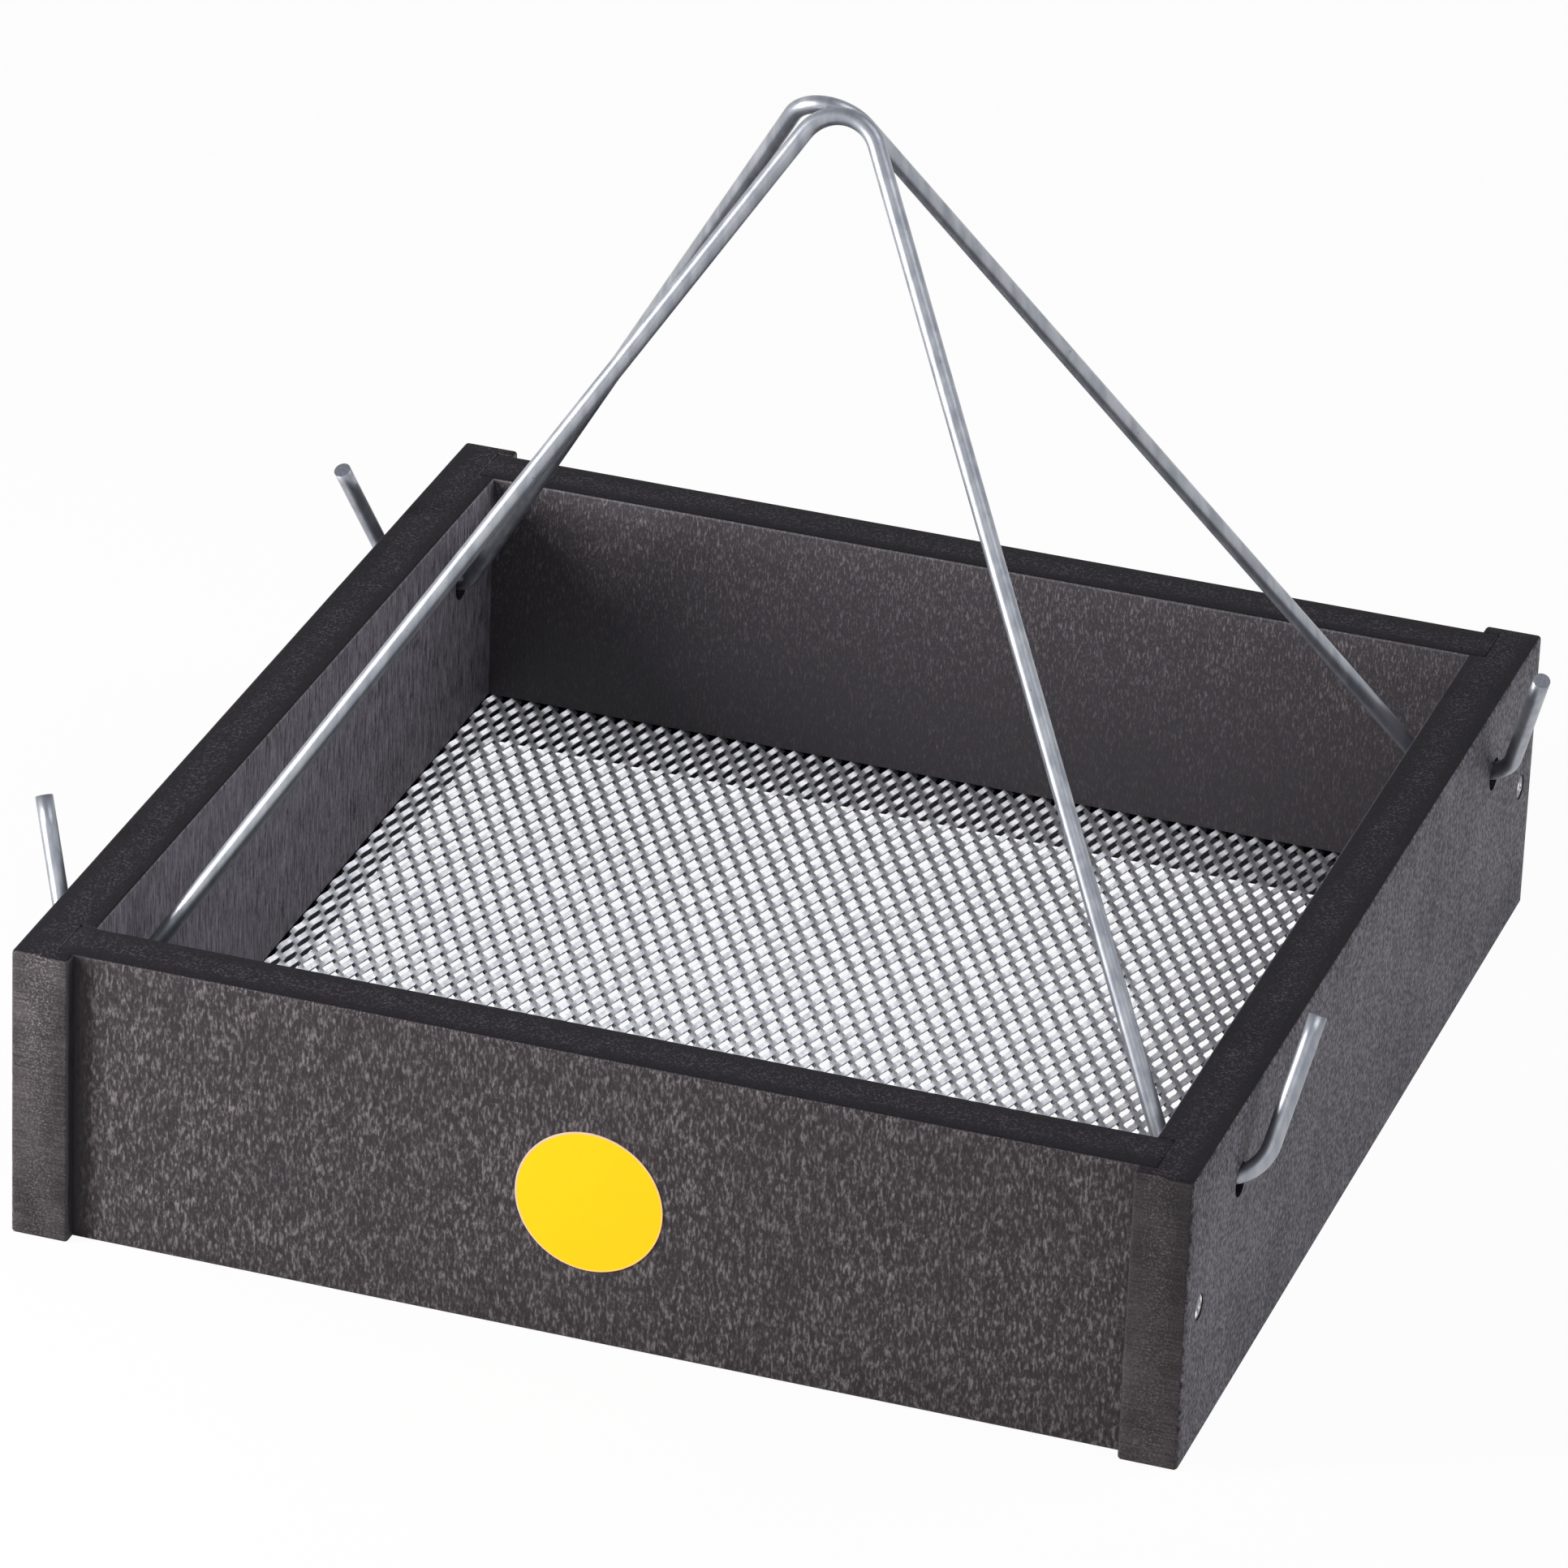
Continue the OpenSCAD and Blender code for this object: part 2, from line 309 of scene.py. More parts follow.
@dataclass(frozen=True)
class RecycledPlastic:
    """Dark grey boards of recycled plastic: flecked or brushed skin, and a speckled foamed core where they are cut."""

    ground: Colour = srgb(53, 48, 51)
    fleck: Colour = srgb(133, 126, 129)
    # Dark pits among the flecks, also used as painted shade on the right board's sawn ends.
    pit_and_shade: Colour = srgb(32, 29, 31)
    inside: Colour = srgb(43, 39, 44)
    inside_fleck: Colour = srgb(132, 123, 129)
    brushed: Colour = srgb(34, 32, 37)
    cool: Colour = srgb(124, 120, 128)
    rim: Colour = srgb(25, 23, 27)
    rim_speck: Colour = srgb(76, 72, 78)
    sawn: Colour = srgb(48, 44, 47)
    worn: Colour = srgb(122, 115, 117)
    middles_mm: Pair = (120.65, 123.8)
    core_mm: Pair = (5.0, 1.2)
    top_mm: Pair = (64.4, 66.2)
    # Where the flecks give out beside the left joint, as a painted shadow of the side board's step.
    step_shadow_mm: Pair = (-114.0, -108.5)
    # Heights over which the inner faces' flecks thicken upwards, as painted light for a sheen.
    inside_painted_sheen_mm: Pair = (22.0, 66.0)
    # Where the side boards' step walls stand out past the front and back boards, painted dark as shade.
    step_wall_shade_mm: Pair = (129.7, 130.4)
    sawn_height_mm: Pair = (20.0, 66.0)
    core_wander: Grain = Grain((26.0, 26.0, 26.0), 15.0, detail=1.0)
    fleck_long: Grain = Grain((0.56, 0.56, 1.7), warp=0.2)
    fleck_fine: Grain = Grain((0.4, 0.4, 0.8), 7.0)
    fleck_patch: Grain = Grain((14.0, 14.0, 20.0), 3.0)
    inside_long: Grain = Grain((0.42, 0.42, 1.7), 13.0, warp=0.5)
    inside_fine: Grain = Grain((0.36, 0.36, 0.8), 17.0, rough=0.55, warp=0.4)
    inside_patch: Grain = Grain((18.0, 18.0, 24.0), 3.0)
    brush_mark: Grain = Grain((0.6, 0.6, 8.0), 5.0, detail=3.0, rough=0.65)
    brush_speck: Grain = Grain((0.95, 0.95, 0.95), 11.0, detail=3.0, rough=0.6)
    brush_patch: Grain = Grain((22.0, 22.0, 26.0), 2.0)
    stroke_mark: Grain = Grain((0.55, 0.55, 6.0), 5.0, detail=3.0, rough=0.65, warp=0.4)
    stroke_speck: Grain = Grain((0.8, 0.8, 1.2), 11.0, rough=0.6)
    foam_speck: Grain = Grain((0.5, 0.5, 0.5), 4.0, rough=0.6)
    foam_cloud: Grain = Grain((6.0, 6.0, 6.0), 9.0)
    saw_mark: Grain = Grain((12.0, 12.0, 0.3), 6.0)
    saw_speck: Grain = Grain((0.48, 0.48, 0.48), 8.0, rough=0.65)
    saw_patch: Grain = Grain((8.0, 8.0, 9.0), 1.0)

    def material(self, face: BoardFace, across: int) -> bpy.types.Material:
        """Makes the finish of one kind of surface.

        Args:
            face: The kind of surface.
            across: The axis of the board's thickness, 0 for x and 1 for y.

        Returns:
            The material.
        """
        makers = {
            BoardFace.FLECKED: self._flecked,
            BoardFace.INNER: self._inner,
            BoardFace.BRUSHED: self._brushed,
            BoardFace.STROKED: self._stroked,
        }
        cut_makers = {BoardFace.RIM: self._rim, BoardFace.SAWN: self._sawn}
        paint = Paint(f"board_{face.value}_{'xy'[across]}")
        if face in cut_makers:
            return cut_makers[face](paint, self._core(paint, across))
        return makers[face](paint)

    def _core(self, paint: Paint, across: int) -> Link:
        """Finds the foamed middle of a board's thickness.

        Args:
            paint: The material that is being made.
            across: The axis of the board's thickness.

        Returns:
            1 in the middle, falling to 0 in the denser skin.
        """
        wander = (paint.noise(self.core_wander) - 0.5) * 4.0
        off = abs(abs(paint.axes()[across]) - self.middles_mm[across] + wander)
        return off.step(*self.core_mm)

    def _flecked(self, paint: Paint) -> bpy.types.Material:
        """Short upright light flecks on a warm dark ground, thickest along the top edge; they give out beside the left
        joint as a painted shadow of the side board's step.

        Args:
            paint: The material that is being made.

        Returns:
            The material.
        """
        long, fine, patch = (paint.noise(grain) for grain in (self.fleck_long, self.fleck_fine, self.fleck_patch))
        x, _, z = paint.axes()
        top = z.step(*self.top_mm)
        flecks = (long.step(0.48, 0.77) * 0.76 + fine.step(0.5, 0.8) * (0.42 + top * 0.6)) * (0.5 + patch * 0.9)
        # Painted shadow: the flecks give out beside the left joint, where the side board's step casts its shadow.
        flecks = flecks * x.step(*self.step_shadow_mm)
        colour = paint.blend(flecks.clamped(), self.ground, self.fleck)
        colour = paint.blend(long.step(0.46, 0.28) * 0.6, colour, self.pit_and_shade)
        return paint.finish(
            Base_Color=colour,
            Roughness=0.62 - flecks * 0.14,
            Specular_IOR_Level=0.2,
            Normal=paint.bump(long * 0.6 + fine * 0.4, 0.06),
        )

    def _inner(self, paint: Paint) -> bpy.types.Material:
        """The same flecks, worn flat and greyer, on the faces that look into the tray, thickening towards the top as
        painted light for a sheen along the upper half.

        Args:
            paint: The material that is being made.

        Returns:
            The material.
        """
        long, fine, patch = (paint.noise(grain) for grain in (self.inside_long, self.inside_fine, self.inside_patch))
        # Painted light: the flecks thicken towards the top, standing in for the sheen that the key lamp lays along the
        # upper half.
        high = paint.axes()[2].step(*self.inside_painted_sheen_mm)
        flecks = (long.step(0.5, 0.76) * 0.6 + fine.step(0.52, 0.76) * 0.45) * (0.1 + patch * 0.5 + high * 0.9)
        colour = paint.blend(flecks.clamped(), self.inside, self.inside_fleck)
        return paint.finish(
            Base_Color=colour,
            Roughness=0.5 + long * 0.1,
            Specular_IOR_Level=0.7,
            Normal=paint.bump(long * 0.6 + fine * 0.4, 0.08),
        )

    def _brushed(self, paint: Paint) -> bpy.types.Material:
        """A fine mottle with faint upright strokes on a cooler ground.

        Args:
            paint: The material that is being made.

        Returns:
            The material.
        """
        stroke, speck, patch = (paint.noise(grain) for grain in (self.brush_mark, self.brush_speck, self.brush_patch))
        light = (stroke - 0.5) * 0.6 + (speck - 0.5) * 2.6 + (patch - 0.5) * 0.5 + 0.28
        colour = paint.blend(light.clamped(), self.brushed, self.cool)
        return paint.finish(
            Base_Color=colour,
            Roughness=0.56 + speck * 0.12,
            Specular_IOR_Level=0.15,
            Normal=paint.bump(stroke * 0.4 + speck * 0.6, 0.07),
        )

    def _stroked(self, paint: Paint) -> bpy.types.Material:
        """Fine upright strokes with a sheen, on the side boards' faces that look into the tray; their step walls past
        the front and back boards are painted dark as shade.

        Args:
            paint: The material that is being made.

        Returns:
            The material.
        """
        stroke, speck = paint.noise(self.stroke_mark), paint.noise(self.stroke_speck)
        light = (stroke - 0.5) * 3.0 + (speck - 0.5) * 0.9 + 0.52
        colour = paint.blend(light.clamped(), self.brushed, self.cool)
        # Painted shade: the step wall past the front or back board takes the dark rim colour.
        colour = paint.blend(abs(paint.axes()[1]).step(*self.step_wall_shade_mm) * 0.9, colour, self.rim)
        return paint.finish(
            Base_Color=colour,
            Roughness=0.44 + stroke * 0.14,
            Specular_IOR_Level=0.5,
            Normal=paint.bump(stroke, 0.1),
        )

    def _rim(self, paint: Paint, core: Link) -> bpy.types.Material:
        """Smooth and darkest at the skin, with fine light specks along the foamed middle.

        Args:
            paint: The material that is being made.
            core: 1 in the foamed middle of the board's thickness.

        Returns:
            The material.
        """
        speck, cloud = paint.noise(self.foam_speck), paint.noise(self.foam_cloud)
        light = speck.step(0.5, 0.68) * (core * 0.75 + 0.14) * (0.4 + cloud * 1.2) + core * 0.03
        colour = paint.blend(light.clamped(), self.rim, self.rim_speck)
        return paint.finish(
            Base_Color=colour,
            Roughness=0.68,
            Specular_IOR_Level=0.12,
            Normal=paint.bump(speck * 0.7 + cloud * 0.3, 0.12),
        )

    def _sawn(self, paint: Paint, core: Link) -> bpy.types.Material:
        """Faint level saw marks over the specks of the cut; the right board's ends are painted darker towards the top,
        as painted shade.

        Args:
            paint: The material that is being made.
            core: 1 in the foamed middle of the board's thickness.

        Returns:
            The material.
        """
        x, _, z = paint.axes()
        mark, speck, patch = (paint.noise(grain) for grain in (self.saw_mark, self.saw_speck, self.saw_patch))
        light = speck.step(0.46, 0.7) * (0.3 + core * (0.25 + z.step(*self.sawn_height_mm) * 0.45))
        light = light + (mark - 0.5) * 0.7 + (patch - 0.5) * 0.6 + 0.1
        colour = paint.blend(light.clamped(), self.sawn, self.worn)
        # Painted shade: the right board's ends darken towards the top, standing in for the weaker light that reaches
        # them.
        colour = paint.blend(x.step(-20.0, 20.0) * z.step(0.0, 66.0) * 0.5, colour, self.pit_and_shade)
        return paint.finish(
            Base_Color=colour,
            Roughness=0.62,
            Specular_IOR_Level=0.2,
            Normal=paint.bump(mark * 0.4 + speck * 0.6, 0.14),
        )


@dataclass(frozen=True)
class ZincWire:
    """Zinc-plated wire, drawn lengthwise, with small dull scuffs and dark cut ends."""

    bright: Colour = srgb(174, 177, 183)
    dull: Colour = srgb(134, 138, 147)
    scuff: Colour = srgb(84, 86, 92)
    clouds: Grain = Grain((3.0, 3.0, 16.0), 2.0)
    drawn: Grain = Grain((0.6, 0.6, 3.0), 5.0, rough=0.6)
    nicks: Grain = Grain((1.1, 1.1, 1.6), 12.0, rough=0.6)
    sheared: Grain = Grain((0.5, 0.5, 0.5), 3.0, rough=0.6)

    def material(self) -> bpy.types.Material:
        """Makes the finish.

        Returns:
            The material.
        """
        paint = Paint("zinc_wire")
        cloud, fine = paint.noise(self.clouds), paint.noise(self.drawn)
        nick = paint.noise(self.nicks).step(0.71, 0.78)
        colour = paint.blend(cloud.step(0.3, 0.7) * 0.7 + fine * 0.3, self.bright, self.dull)
        colour = paint.blend(nick * 0.7, colour, self.scuff)
        return paint.finish(
            Base_Color=colour,
            Metallic=0.88 - nick * 0.3,
            Roughness=0.34 + cloud * 0.08 + nick * 0.15,
            Normal=paint.bump(cloud, 0.004),
        )

    def cut_end(self) -> bpy.types.Material:
        """Makes the finish of the wire's sheared ends.

        Returns:
            The material.
        """
        paint = Paint("zinc_wire_cut")
        grain = paint.noise(self.sheared)
        colour = paint.blend(grain, self.scuff, self.dull)
        return paint.finish(Base_Color=colour, Metallic=0.8, Roughness=0.5, Normal=paint.bump(grain, 0.05))


@dataclass(frozen=True)
class ScreenMetal:
    """Mill-finish aluminium, slit and stretched."""

    bright: Colour = srgb(230, 230, 234)
    dull: Colour = srgb(190, 191, 197)
    shade: Colour = srgb(104, 105, 110)
    torn: Colour = srgb(176, 178, 184)
    clouds: Grain = Grain((3.0, 3.0, 3.0), 1.0, rough=0.6)
    stretched: Grain = Grain((0.3, 0.9, 0.3), 4.0, rough=0.6)
    tears: Grain = Grain((0.25, 0.5, 0.25), 6.0, rough=0.6)

    def material(self) -> bpy.types.Material:
        """Makes the finish.

        Returns:
            The material.
        """
        paint = Paint("screen_metal")
        cloud, fine = paint.noise(self.clouds), paint.noise(self.stretched)
        colour = paint.blend(cloud.step(0.35, 0.7), self.bright, self.dull)
        return paint.finish(
            Base_Color=colour,
            Metallic=0.8,
            Roughness=0.36 + fine * 0.2,
            Normal=paint.bump(fine, 0.035),
        )

    def sheared(self) -> bpy.types.Material:
        """Makes the finish of the sheet's slit edges.

        Returns:
            The material.
        """
        paint = Paint("screen_edge")
        torn = paint.noise(self.tears)
        # Partly painted shade: the slit edges are darker than the faces, for the duller cut and for the dark crescents
        # of shade under the strands.
        colour = paint.blend(torn.step(0.4, 0.65), self.shade, self.torn)
        return paint.finish(Base_Color=colour, Metallic=0.9, Roughness=0.42, Normal=paint.bump(torn, 0.03))


@dataclass(frozen=True)
class ScrewSteel:
    """Plated steel, dull but for painted highlights along one slot of the recess, which stand in for glints of light.
    """

    # White of the painted highlights on the screw heads.
    glint_white: Colour = srgb(255, 255, 255)
    dull: Colour = srgb(118, 119, 124)
    middle_mm: Pair = (123.8, 33.35)
    slant: float = 29.0
    apart_mm: float = 1.95
    plating: Grain = Grain((0.4, 0.4, 0.4), 2.0, rough=0.6)

    def material(self) -> bpy.types.Material:
        """Makes the finish.

        Returns:
            The material.
        """
        paint = Paint("screw_steel")
        _, y, z = paint.axes()
        level, up = self.middle_mm[0] - abs(y), z - self.middle_mm[1]
        cosine, sine = math.cos(math.radians(self.slant)), math.sin(math.radians(self.slant))
        along, off = level * cosine + up * sine, up * cosine - level * sine
        # Painted highlights: a row of white spots along one slot stands in for the lamps' glints on the head.
        glint_spots = (along * (2 * math.pi / self.apart_mm) + math.pi / 2).sine() * 0.5 + 0.5
        grain = paint.noise(self.plating)
        painted_glints = glint_spots.step(0.15, 0.7) * abs(off).step(1.1, 0.5)
        colour = paint.blend(painted_glints, self.dull, self.glint_white)
        colour = paint.blend(grain.step(0.45, 0.75) * 0.2, colour, self.dull)
        return paint.finish(
            Base_Color=colour, Metallic=0.9 - painted_glints * 0.9, Roughness=0.36, Normal=paint.bump(grain, 0.02)
        )


@dataclass(frozen=True)
class LabelPaper:
    """Plain bright yellow label stock with a thin pale cut edge."""

    face: Colour = srgb(255, 213, 0)
    edge: Colour = srgb(246, 205, 160)
    centre_mm: Pair = (-1.0, 33.0)
    edge_mm: Pair = (15.55, 15.8)
    fibres: Grain = Grain((0.6, 0.6, 0.6), detail=3.0, rough=0.6)

    def material(self) -> bpy.types.Material:
        """Makes the finish.

        Returns:
            The material.
        """
        paint = Paint("label_paper")
        x, _, z = paint.axes()
        across, up = x - self.centre_mm[0], z - self.centre_mm[1]
        radius = (across * across + up * up).root()
        fibre = paint.noise(self.fibres)
        ink = paint.blend((fibre - 0.5).clamped() * 0.25, self.face, self.edge)
        colour = paint.blend(radius.step(*self.edge_mm), ink, self.edge)
        return paint.finish(
            Base_Color=colour,
            Roughness=0.42 + fibre * 0.1,
            Specular_IOR_Level=0.2,
            Normal=paint.bump(fibre, 0.01),
        )


def make_piece(name: str, mesh: bmesh.types.BMesh, materials: Sequence[bpy.types.Material]) -> bpy.types.Object:
    """Turns worked geometry into an object of the scene.

    Args:
        name: The piece's name.
        mesh: The geometry, in metres; it is freed here.
        materials: The piece's material slots, in order.

    Returns:
        The new object.
    """
    data = bpy.data.meshes.new(name)
    mesh.to_mesh(data)
    mesh.free()
    for material in materials:
        data.materials.append(material)
    piece = bpy.data.objects.new(name, data)
    bpy.context.scene.collection.objects.link(piece)
    return piece


def settle(piece: bpy.types.Object, body: str, node: str) -> None:
    """Puts a finished piece on its body, in place of its CAD node.

    Args:
        piece: The piece.
        body: The CAD body it moves with.
        node: The CAD node it stands for.
    """
    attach(piece, body)
    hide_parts(node)
    LOG.info("%s: %d faces, rides on %s", piece.name, len(piece.data.polygons), body)


def bridge(
    mesh: bmesh.types.BMesh, first: Sequence[bmesh.types.BMVert], second: Sequence[bmesh.types.BMVert]
) -> list[bmesh.types.BMFace]:
    """Joins two rings of corners with faces.

    Args:
        mesh: The geometry.
        first: One ring, or a single point.
        second: The next ring, or a single point.

    Returns:
        The new faces, in order round the rings.
    """
    count = max(len(first), len(second))
    faces = []
    for k in range(count):
        n = (k + 1) % count
        corners = (first[k % len(first)], first[n % len(first)], second[n % len(second)], second[k % len(second)])
        faces.append(mesh.faces.new(list(dict.fromkeys(corners))))
    return faces


class CutShape(Enum):
    """Which kind of shape is cut away."""

    BOX = "box"
    CONE = "cone"


Cut = tuple[CutShape, Matrix, tuple[float, ...]]


def make_cutter(cuts: Sequence[Cut]) -> bpy.types.Object:
    """Joins the shapes that are cut away into one tool.

    Args:
        cuts: For each cut, its kind, its place in millimetres, and its sizes.

    Returns:
        The cutting object.
    """
    mesh = bmesh.new()
    scale = Matrix.Scale(MM, 4)
    for shape, place, sizes in cuts:
        if shape is CutShape.BOX:
            stretch = Matrix.Diagonal((*sizes, 1.0))
            bmesh.ops.create_cube(mesh, size=1.0, matrix=scale @ place @ stretch)
        else:
            radii = {"radius1": sizes[0], "radius2": sizes[1], "depth": sizes[2]}
            bmesh.ops.create_cone(mesh, cap_ends=True, segments=CUTTER_SIDES, matrix=scale @ place, **radii)
    return make_piece("cutter", mesh, [])


def cut_away(piece: bpy.types.Object, tool: bpy.types.Object) -> None:
    """Cuts a tool out of a piece and deletes the tool.

    Args:
        piece: The board.
        tool: What is cut away.
    """
    modifier = piece.modifiers.new("cut", "BOOLEAN")
    modifier.operation = "DIFFERENCE"
    modifier.solver = "EXACT"
    modifier.object = tool
    bpy.context.view_layer.update()
    data = bpy.data.meshes.new_from_object(piece.evaluated_get(bpy.context.evaluated_depsgraph_get()))
    piece.modifiers.clear()
    piece.data = data
    bpy.data.objects.remove(tool)


@dataclass
class Board:
    """One board: its middle, its size along, across and up, and which way it runs, in millimetres."""

    middle: Point
    size: Point
    along_y: bool
    edge: float = 0.8
    edge_turns: int = 4
    end_turns: int = 3
    cells_across: int = 4
    cell_up: float = 8.0
    spacing: float = 3.0
    wander: float = 0.12
    wander_flat: float = 0.15
    wander_edge: float = 2.4
    slow_grain: float = 0.11
    quick_grain: float = 0.55
    quick_shift: Point = (9.0, 4.0, 2.0)
    slow_share: float = 0.6

    def section(self, inset: float) -> list[Pair]:
        """Outline across the board's run, drawn in by an inset.

        Args:
            inset: How far the outline is drawn in, up to the edge radius.

        Returns:
            Points across and up from the middle, in millimetres.
        """
        half_t, half_h = self.size[1] / 2 - self.edge, self.size[2] / 2 - self.edge
        radius = self.edge - inset
        turns = self.edge_turns
        up = max(2, round(2 * half_h / self.cell_up))
        corners = [(half_t, -half_h), (half_t, half_h), (-half_t, half_h), (-half_t, -half_h)]
        steps = [up, self.cells_across, up, self.cells_across]
        points = []
        for quarter, (centre, count) in enumerate(zip(corners, steps)):
            for i in range(turns + 1):
                angle = math.radians(90 * (quarter - 1) + 90 * i / turns)
                points.append((centre[0] + radius * math.cos(angle), centre[1] + radius * math.sin(angle)))
            follow = corners[(quarter + 1) % 4]
            angle = math.radians(90 * quarter)
            for i in range(1, count):
                share = i / count
                x = centre[0] + (follow[0] - centre[0]) * share + radius * math.cos(angle)
                z = centre[1] + (follow[1] - centre[1]) * share + radius * math.sin(angle)
                points.append((x, z))
        return points

    def stations(self) -> list[Pair]:
        """Works out where the outline is repeated along the board.

        Returns:
            Places along the run and the inset of the outline there, in millimetres.
        """
        half = self.size[0] / 2
        ends = []
        for i in range(self.end_turns + 1):
            angle = math.radians(90 * i / self.end_turns)
            ends.append((half - self.edge + self.edge * math.cos(angle), self.edge * (1 - math.sin(angle))))
        count = round(2 * (half - self.edge) / self.spacing)
        run = [(-half + self.edge + 2 * (half - self.edge) * i / count, 0.0) for i in range(1, count)]
        return [(-along, inset) for along, inset in ends] + run + [(along, inset) for along, inset in reversed(ends)]

    def worn(self, point: Vector, out: Vector) -> Vector:
        """Draws a point in a little, more at the edges, as the real boards' edges wander.

        Args:
            point: The point, in millimetres.
            out: The direction out of the board there.

        Returns:
            The moved point.
        """
        sharp = 1.0 - max(abs(part) for part in out) / out.length
        slow = noise.noise(point * self.slow_grain) * 0.5 + 0.5
        quick = noise.noise(point * self.quick_grain + Vector(self.quick_shift)) * 0.5 + 0.5
        mixed = self.slow_share * slow + (1.0 - self.slow_share) * quick
        depth = self.wander * (self.wander_flat + self.wander_edge * sharp) * mixed
        return point - out.normalized() * depth

    def build(self) -> bmesh.types.BMesh:
        """Builds the board's body before anything is cut into it.

        Returns:
            The geometry, in metres, in its place.
        """
        mesh = bmesh.new()
        half = [side / 2 - self.edge for side in self.size]
        rings = []
        for along, inset in self.stations():
            ring = []
            for across, up in self.section(inset):
                local = Vector((along, across, up))
                core = Vector(max(-limit, min(limit, value)) for limit, value in zip(half, local))
                out = local - core
                if out.length < 1e-6:
                    out = Vector((math.copysign(1.0, along), 0.0, 0.0))
                local = self.worn(local, out)
                x, y = (local.y, local.x) if self.along_y else (local.x, local.y)
                place = Vector((x, y, local.z)) + Vector(self.middle)
                ring.append(mesh.verts.new(place * MM))
            rings.append(ring)
        for first, second in zip(rings, rings[1:]):
            bridge(mesh, first, second)
        mesh.faces.new(list(reversed(rings[0])))
        mesh.faces.new(rings[-1])
        bmesh.ops.recalc_face_normals(mesh, faces=mesh.faces)
        return mesh


@dataclass
class Tray:
    """The four boards of the tray, in millimetres."""

    width: float = 254.0
    depth: float = 266.7
    height: float = 66.7
    thick: float = 12.7
    step: float = 3.2
    dado: float = 4.0
    dado_gap: float = 0.1
    groove_z: Pair = (9.9, 12.1)
    groove: float = 4.0
    hole_y: float = 97.55
    hole_z: float = 49.0
    hole_d: float = 7.5
    head_d: float = 5.7
    head_sink: float = 0.5
    shank_d: float = 3.3
    tool_over: float = 0.5
    tool_past: float = 2.0
    tool_lap: float = 0.02
    sharp_degrees: float = 38.0
    plastic: RecycledPlastic = field(default_factory=RecycledPlastic)
    side_in: float = field(init=False)
    end_mid: float = field(init=False)
    finishes: dict[tuple[BoardFace, int], bpy.types.Material] = field(init=False)

    def __post_init__(self) -> None:
        """Works out the places that several boards share, and makes the finishes."""
        self.side_in = self.width / 2 - self.thick
        self.end_mid = self.depth / 2 - self.step - self.thick / 2
        self.finishes = {(face, across): self.plastic.material(face, across) for face in BoardFace for across in (0, 1)}

    def _side_cuts(self, side: int) -> bpy.types.Object:
        """Makes what is cut into a side board for the ends of the front and back boards.

        Args:
            side: 1 for the right board, -1 for the left.

        Returns:
            The cutting object.
        """
        middle = side * (self.side_in + self.dado / 2 - self.tool_over)
        sizes = (self.dado + 2 * self.tool_over, self.thick + 2 * self.dado_gap, self.height + self.tool_past)
        places = [Matrix.Translation((middle, end * self.end_mid, self.height / 2)) for end in (-1, 1)]
        return make_cutter([(CutShape.BOX, place, sizes) for place in places])

    def _hole_tools(self, side: int) -> list[bpy.types.Object]:
        """Makes the tools for the round holes and the groove of a side board.

        Args:
            side: 1 for the right board, -1 for the left.

        Returns:
            One cutting object each for the groove, the holes, the screws' recesses and their countersinks.
        """
        turn = Matrix.Rotation(math.radians(90), 4, "Y")
        low, high = self.groove_z
        run = 2 * (self.end_mid - self.thick / 2)
        middle = side * (self.side_in + self.groove / 2 - self.tool_over)
        groove = Matrix.Translation((middle, 0, (low + high) / 2))
        grooves = [(CutShape.BOX, groove, (self.groove + 2 * self.tool_over, run, high - low))]
        through = self.thick + 2 * self.tool_past
        head_r, shank_r, hole_r = self.head_d / 2, self.shank_d / 2, self.hole_d / 2
        taper = head_r - shank_r
        slim_to_wide = (shank_r, head_r - self.tool_lap / 2)[::side]
        across = side * (self.side_in + self.thick / 2)
        sink_x = side * (self.width / 2 - (self.head_sink / 2 - self.tool_over))
        cone_x = side * (self.width / 2 - (self.head_sink + taper / 2 - self.tool_lap))
        rounds, sinks, cones = [], [], []
        for end in (-1, 1):
            hole = Matrix.Translation((across, end * self.hole_y, self.hole_z)) @ turn
            shank, sink, cone = (
                Matrix.Translation((x, end * self.end_mid, self.height / 2)) @ turn for x in (across, sink_x, cone_x)
            )
            rounds.append((CutShape.CONE, hole, (hole_r, hole_r, through)))
            rounds.append((CutShape.CONE, shank, (shank_r, shank_r, through)))
            sinks.append((CutShape.CONE, sink, (head_r, head_r, self.head_sink + 2 * self.tool_over)))
            cones.append((CutShape.CONE, cone, (*slim_to_wide, taper)))
        return [make_cutter(cuts) for cuts in (grooves, rounds, sinks, cones)]

    def _dress(self, piece: bpy.types.Object, wide_axis: int, end_axis: int, wide: BoardFace) -> None:
        """Gives each face of a board the finish of its kind.

        Args:
            piece: The board.
            wide_axis: The axis that the wide faces look along.
            end_axis: The axis that the sawn ends look along.
            wide: The finish of the wide faces.
        """
        inward = {BoardFace.FLECKED: BoardFace.INNER, BoardFace.BRUSHED: BoardFace.STROKED}[wide]
        faces = [wide, BoardFace.RIM, BoardFace.SAWN, inward]
        piece.data.materials.clear()
        for face in faces:
            piece.data.materials.append(self.finishes[face, wide_axis])
        for polygon in piece.data.polygons:
            normal = polygon.normal
            sizes = [abs(normal[wide_axis]), abs(normal.z), abs(normal[end_axis])]
            polygon.material_index = sizes.index(max(sizes))
            if polygon.material_index == 0 and normal[wide_axis] * polygon.center[wide_axis] < 0:
                polygon.material_index = faces.index(inward)
            polygon.use_smooth = True
        piece.data.set_sharp_from_angle(angle=math.radians(self.sharp_degrees))

